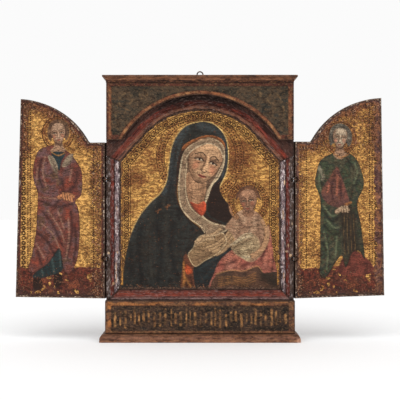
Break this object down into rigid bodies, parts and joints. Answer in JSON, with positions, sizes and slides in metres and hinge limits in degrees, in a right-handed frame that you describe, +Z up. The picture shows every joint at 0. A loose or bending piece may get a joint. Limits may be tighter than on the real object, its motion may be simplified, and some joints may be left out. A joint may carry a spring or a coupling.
{
  "type": "triptych altarpiece",
  "caption": "Small portable winged altarpiece: framed arched centre panel with sunk painted field, head board, plinth board and two arched hinged wings.",
  "frame": {"origin": "middle of the underside of the base moulding, in X and, within 0.1 mm, in the case's depth", "axes": "+X across the front to the viewer's right, +Y towards the back, +Z up; the pictures face -Y"},
  "size_m": [0.5616, 0.0582, 0.4067],
  "materials": {
    "gilded_panel": "gesso, worn water gilding and tempera on poplar",
    "frame_moulding": "worn red and blue-grey paint over carved wood",
    "spandrel": "dark green-black paint with traces of gilding",
    "worn_trim": "brown stained wood, rubbed and dusty",
    "predella": "dark paint with rubbed gilded marks and an orange border",
    "iron_wire": "dark wrought wire"
  },
  "bodies": {
    "case": {"centre_panel": "gilded_panel", "arch_moulding": "frame_moulding", "left_side_moulding": "frame_moulding", "right_side_moulding": "frame_moulding", "sill_moulding": "frame_moulding", "spandrel_board": "spandrel", "cornice": "worn_trim", "predella_board": "predella", "base_moulding": "worn_trim", "hanging_staple": "iron_wire", "left_upper_hinge_body_loop": "iron_wire", "left_lower_hinge_body_loop": "iron_wire", "right_upper_hinge_body_loop": "iron_wire", "right_lower_hinge_body_loop": "iron_wire"},
    "left_leaf": {"left_wing": "gilded_panel", "left_upper_hinge_wing_loop": "iron_wire", "left_lower_hinge_wing_loop": "iron_wire"},
    "right_leaf": {"right_wing": "gilded_panel", "right_upper_hinge_wing_loop": "iron_wire", "right_lower_hinge_wing_loop": "iron_wire"}
  },
  "joints": [
    {"name": "left_wing_hinge", "type": "hinge", "parent": "case", "child": "left_leaf", "pos_m": [-0.1416, -0.0088, 0.18], "axis": [0, 0, 1], "range_deg": [0, 189]},
    {"name": "right_wing_hinge", "type": "hinge", "parent": "case", "child": "right_leaf", "pos_m": [0.1416, -0.0088, 0.18], "axis": [0, 0, -1], "range_deg": [0, 189]}
  ]
}
